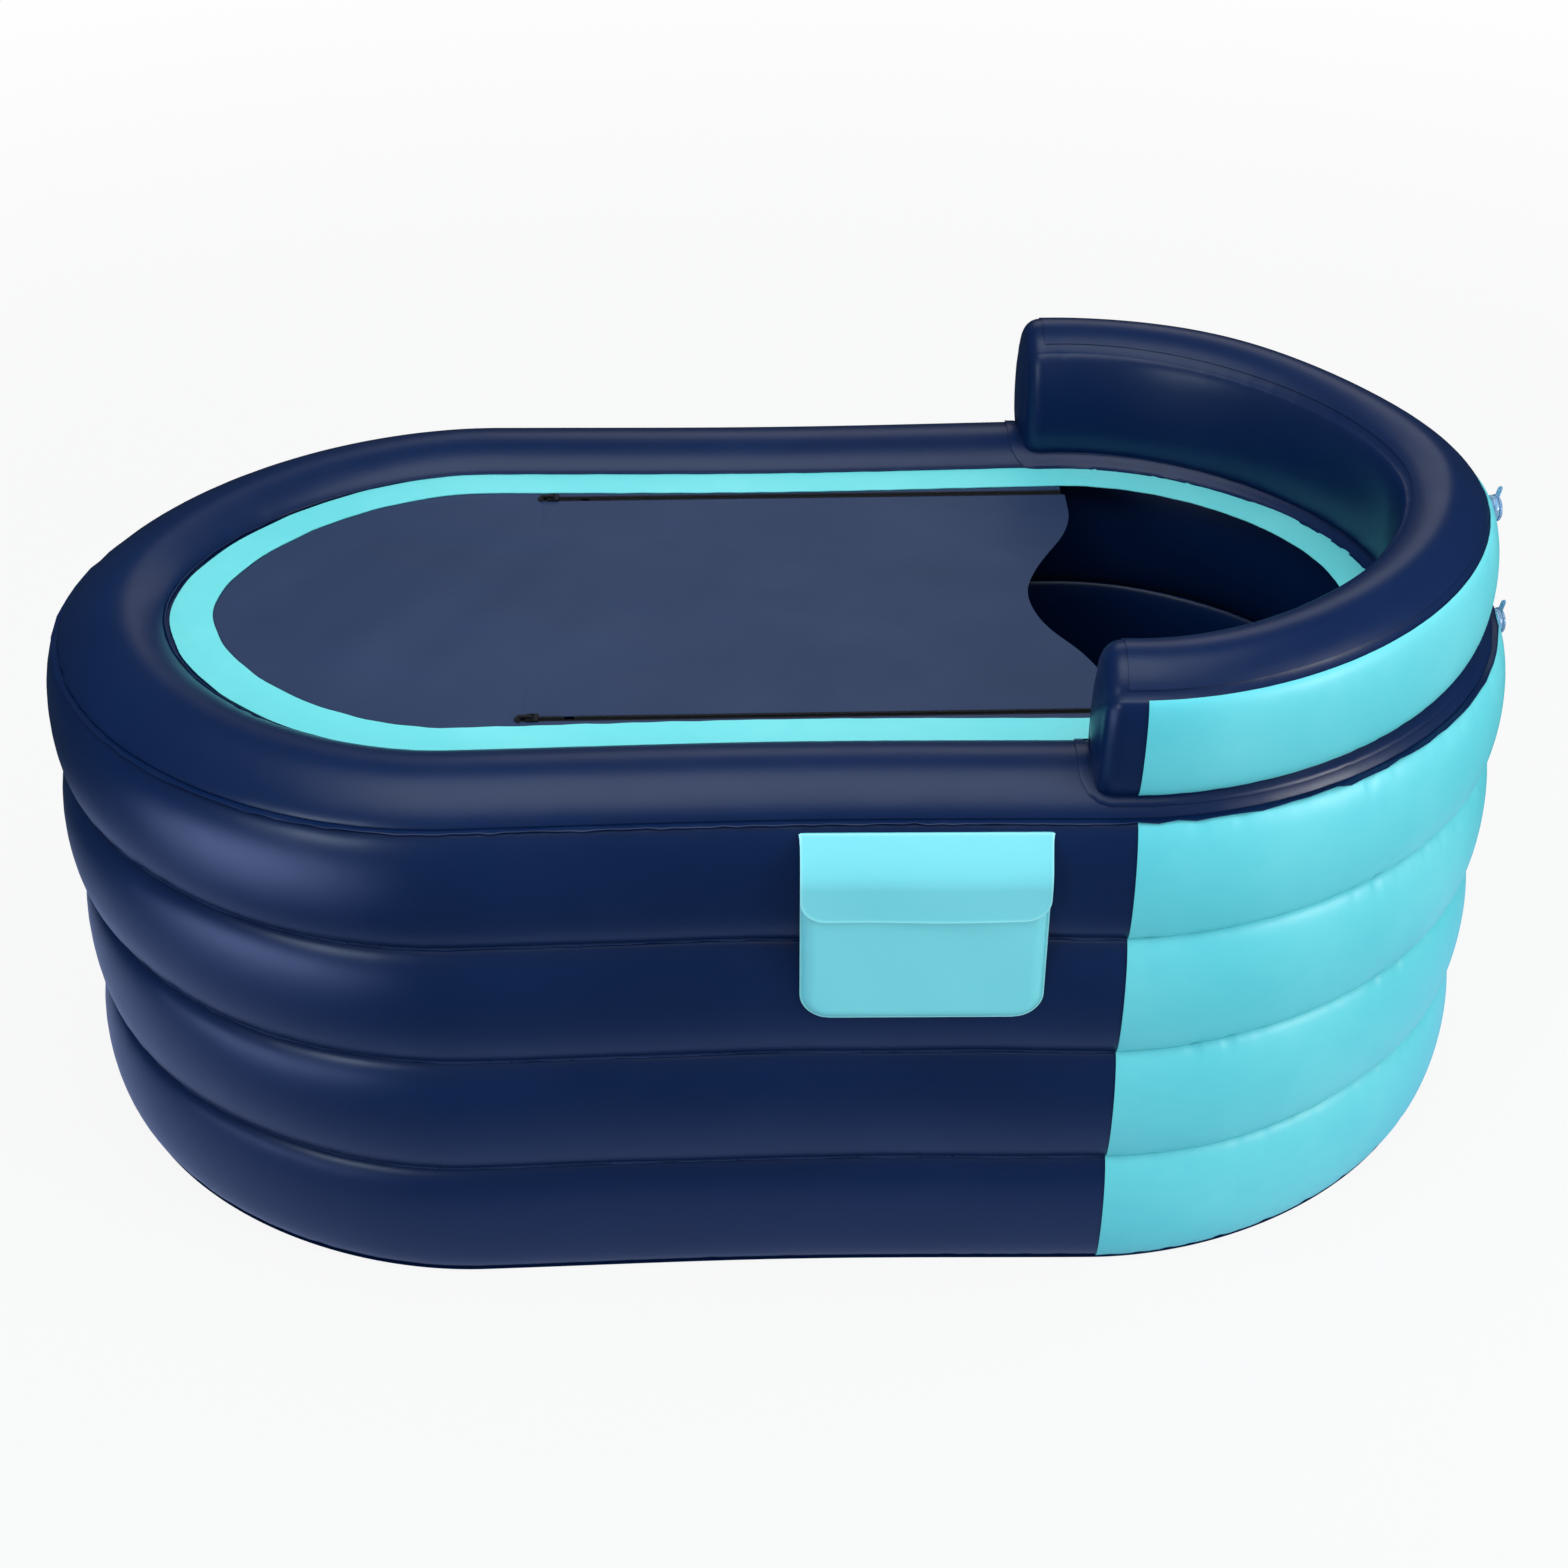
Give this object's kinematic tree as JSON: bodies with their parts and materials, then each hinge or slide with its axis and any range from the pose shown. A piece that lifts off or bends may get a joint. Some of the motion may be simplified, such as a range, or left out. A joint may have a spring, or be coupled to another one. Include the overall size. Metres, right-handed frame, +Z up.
{
  "type": "inflatable bathtub",
  "caption": "Oval inflatable bathtub with stacked ring chambers, a curved backrest round the head end, a cover with a zip-open flap, a side pocket, capped air valves and a drain.",
  "frame": {"origin": "centre of the flat underside, on the floor", "axes": "+X towards the head end with the backrest, +Y towards the rear long side, away from the pocket, +Z up"},
  "size_m": [1.627, 0.8992, 0.7548],
  "materials": {
    "navy_vinyl": "satin dark blue PVC sheet",
    "cover_vinyl": "dull dark blue PVC sheet",
    "aqua_vinyl": "satin light blue PVC sheet",
    "border_vinyl": "satin pale turquoise PVC sheet",
    "zip_plastic": "black zip tape, coil and moulded slider",
    "valve_vinyl": "clear pale blue soft PVC"
  },
  "bodies": {
    "tub": {"backrest_chamber": "navy_vinyl", "backrest_outer_panel": "aqua_vinyl", "backrest_top_panel": "navy_vinyl", "backrest_valve_stem": "valve_vinyl", "backrest_weld": "navy_vinyl", "base_sheet": "navy_vinyl", "cover_border": "border_vinyl", "cover_foot_panel": "cover_vinyl", "cushion_valve_stem": "valve_vinyl", "drain_inlet": "valve_vinyl", "drain_outlet_stem": "valve_vinyl", "floor_cushion": "navy_vinyl", "pocket_back": "aqua_vinyl", "pocket_bag": "aqua_vinyl", "pocket_loop_pad": "zip_plastic", "rim_outer_weld": "navy_vinyl", "rim_top_panel": "navy_vinyl", "ring_1_chamber": "navy_vinyl", "ring_1_head_panel": "aqua_vinyl", "ring_1_valve_stem": "valve_vinyl", "ring_2_chamber": "navy_vinyl", "ring_2_head_panel": "aqua_vinyl", "ring_2_valve_stem": "valve_vinyl", "ring_3_chamber": "navy_vinyl", "ring_3_head_panel": "aqua_vinyl", "ring_3_valve_stem": "valve_vinyl", "ring_4_chamber": "navy_vinyl", "ring_4_head_panel": "aqua_vinyl", "ring_4_valve_stem": "valve_vinyl", "ring_web_1": "aqua_vinyl", "ring_web_2": "aqua_vinyl", "ring_web_3": "aqua_vinyl", "zip_front_fixed_half": "zip_plastic", "zip_front_foot_half": "zip_plastic", "zip_rear_fixed_half": "zip_plastic", "zip_rear_foot_half": "zip_plastic"},
    "cover_flap": {"cover_flap": "cover_vinyl", "zip_rear_flap_half": "zip_plastic", "zip_front_flap_half": "zip_plastic"},
    "zip_rear_slider": {"zip_rear_slider": "zip_plastic"},
    "zip_rear_pull": {"zip_rear_pull_tab": "zip_plastic"},
    "zip_front_slider": {"zip_front_slider": "zip_plastic"},
    "zip_front_pull": {"zip_front_pull_tab": "zip_plastic"},
    "pocket_flap": {"pocket_flap": "aqua_vinyl", "pocket_hook_pad": "zip_plastic"},
    "ring_1_valve_cap": {"ring_1_valve_cap": "valve_vinyl"},
    "ring_2_valve_cap": {"ring_2_valve_cap": "valve_vinyl"},
    "ring_3_valve_cap": {"ring_3_valve_cap": "valve_vinyl"},
    "ring_4_valve_cap": {"ring_4_valve_cap": "valve_vinyl"},
    "backrest_valve_cap": {"backrest_valve_cap": "valve_vinyl"},
    "cushion_valve_cap": {"cushion_valve_cap": "valve_vinyl"},
    "drain_outlet_cap": {"drain_outlet_cap": "valve_vinyl"},
    "drain_stopper": {"drain_stopper": "valve_vinyl"}
  },
  "joints": [
    {"name": "cover_flap_fold", "type": "hinge", "parent": "tub", "child": "cover_flap", "pos_m": [-0.222, 0, 0.5957], "axis": [0, -1, 0], "range_deg": [0, 160]},
    {"name": "zip_rear_slide", "type": "slide", "parent": "tub", "child": "zip_rear_slider", "axis": [1, 0, 0], "range_m": [0, 0.579]},
    {"name": "zip_rear_pull_swing", "type": "hinge", "parent": "zip_rear_slider", "child": "zip_rear_pull", "pos_m": [-0.2545, 0.229, 0.6], "axis": [0, 1, 0], "range_deg": [0, 180]},
    {"name": "zip_front_slide", "type": "slide", "parent": "tub", "child": "zip_front_slider", "axis": [1, 0, 0], "range_m": [0, 0.579]},
    {"name": "zip_front_pull_swing", "type": "hinge", "parent": "zip_front_slider", "child": "zip_front_pull", "pos_m": [-0.2545, -0.229, 0.6], "axis": [0, 1, 0], "range_deg": [0, 180]},
    {"name": "pocket_flap_lift", "type": "hinge", "parent": "tub", "child": "pocket_flap", "pos_m": [0.13352, -0.40812, 0.57891], "axis": [-0.9998, 0.0189, 0], "range_deg": [0, 110]},
    {"name": "ring_1_valve_cap_open", "type": "hinge", "parent": "tub", "child": "ring_1_valve_cap", "pos_m": [0.82136, 0.06121, 0.05425], "axis": [-0.1748, 0.9846, 0], "range_deg": [0, 160]},
    {"name": "ring_2_valve_cap_open", "type": "hinge", "parent": "tub", "child": "ring_2_valve_cap", "pos_m": [0.82136, 0.06121, 0.203], "axis": [-0.1748, 0.9846, 0], "range_deg": [0, 160]},
    {"name": "ring_3_valve_cap_open", "type": "hinge", "parent": "tub", "child": "ring_3_valve_cap", "pos_m": [0.82136, 0.06121, 0.352], "axis": [-0.1748, 0.9846, 0], "range_deg": [0, 160]},
    {"name": "ring_4_valve_cap_open", "type": "hinge", "parent": "tub", "child": "ring_4_valve_cap", "pos_m": [0.81843, 0.06074, 0.496], "axis": [-0.1749, 0.9846, 0], "range_deg": [0, 160]},
    {"name": "backrest_valve_cap_open", "type": "hinge", "parent": "tub", "child": "backrest_valve_cap", "pos_m": [0.78871, 0.05596, 0.6444], "axis": [-0.1763, 0.9843, 0], "range_deg": [0, 160]},
    {"name": "cushion_valve_cap_open", "type": "hinge", "parent": "tub", "child": "cushion_valve_cap", "pos_m": [-0.42171, 0, 0.06463], "axis": [0, -1, 0], "range_deg": [0, 160]},
    {"name": "drain_outlet_cap_open", "type": "hinge", "parent": "tub", "child": "drain_outlet_cap", "pos_m": [-0.3009, 0.45299, 0.05325], "axis": [-0.9998, 0.0176, 0], "range_deg": [0, 160]},
    {"name": "drain_stopper_pull", "type": "slide", "parent": "tub", "child": "drain_stopper", "axis": [-0.0224, -0.9997, 0], "range_m": [0, 0.03]}
  ]
}
